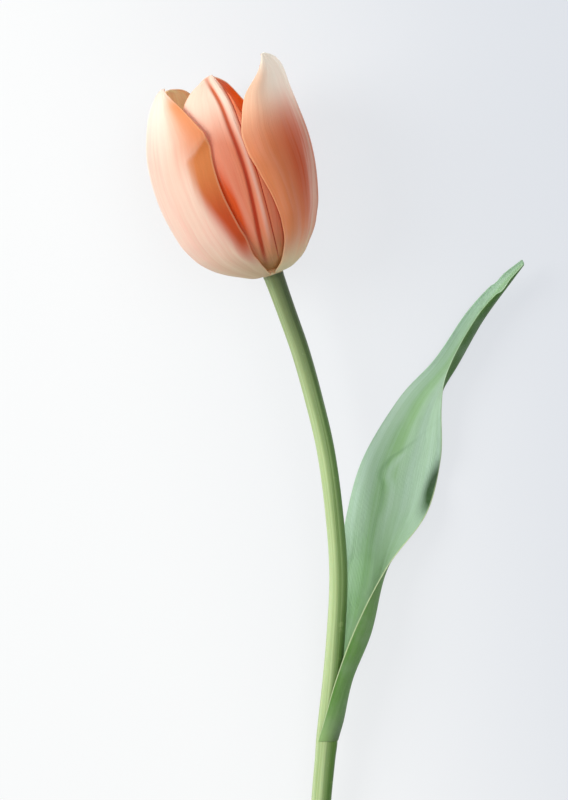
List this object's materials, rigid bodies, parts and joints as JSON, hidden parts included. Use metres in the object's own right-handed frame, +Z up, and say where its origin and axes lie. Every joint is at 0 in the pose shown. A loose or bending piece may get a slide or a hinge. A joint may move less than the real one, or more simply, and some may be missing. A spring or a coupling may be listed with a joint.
{
  "type": "cut tulip",
  "caption": "Cut tulip lying on its side: curved stem, one clasping leaf and a cup-shaped flower of overlapping tepals around stamens and a pistil.",
  "frame": {"origin": "centre of the bounding box's footprint, on the surface the flower lies on", "axes": "+Y along the flower's length from cut end to bloom, +Z up off the surface, +X towards the side the leaf leans to"},
  "size_m": [0.1268, 0.3012, 0.0538],
  "materials": {
    "stem": "smooth waxy green plant tissue",
    "leaf": "glaucous green leaf with fine parallel veins",
    "outer_tepal": "satin peach tepal with cream margins",
    "inner_tepal": "satin salmon tepal with a ribbed midrib",
    "pistil": "matt pale green",
    "filament": "matt pale yellow-green",
    "anther": "matt dark pollen sac"
  },
  "bodies": {
    "root": {"stem": "stem", "leaf": "leaf", "outer_tepal_left": "outer_tepal", "outer_tepal_right": "outer_tepal", "outer_tepal_back": "outer_tepal", "inner_tepal_front": "inner_tepal", "inner_tepal_back_left": "inner_tepal", "inner_tepal_back_right": "inner_tepal", "pistil": "pistil", "filament_1": "filament", "filament_2": "filament", "filament_3": "filament", "filament_4": "filament", "filament_5": "filament", "filament_6": "filament", "anther_1": "anther", "anther_2": "anther", "anther_3": "anther", "anther_4": "anther", "anther_5": "anther", "anther_6": "anther"}
  },
  "joints": []
}
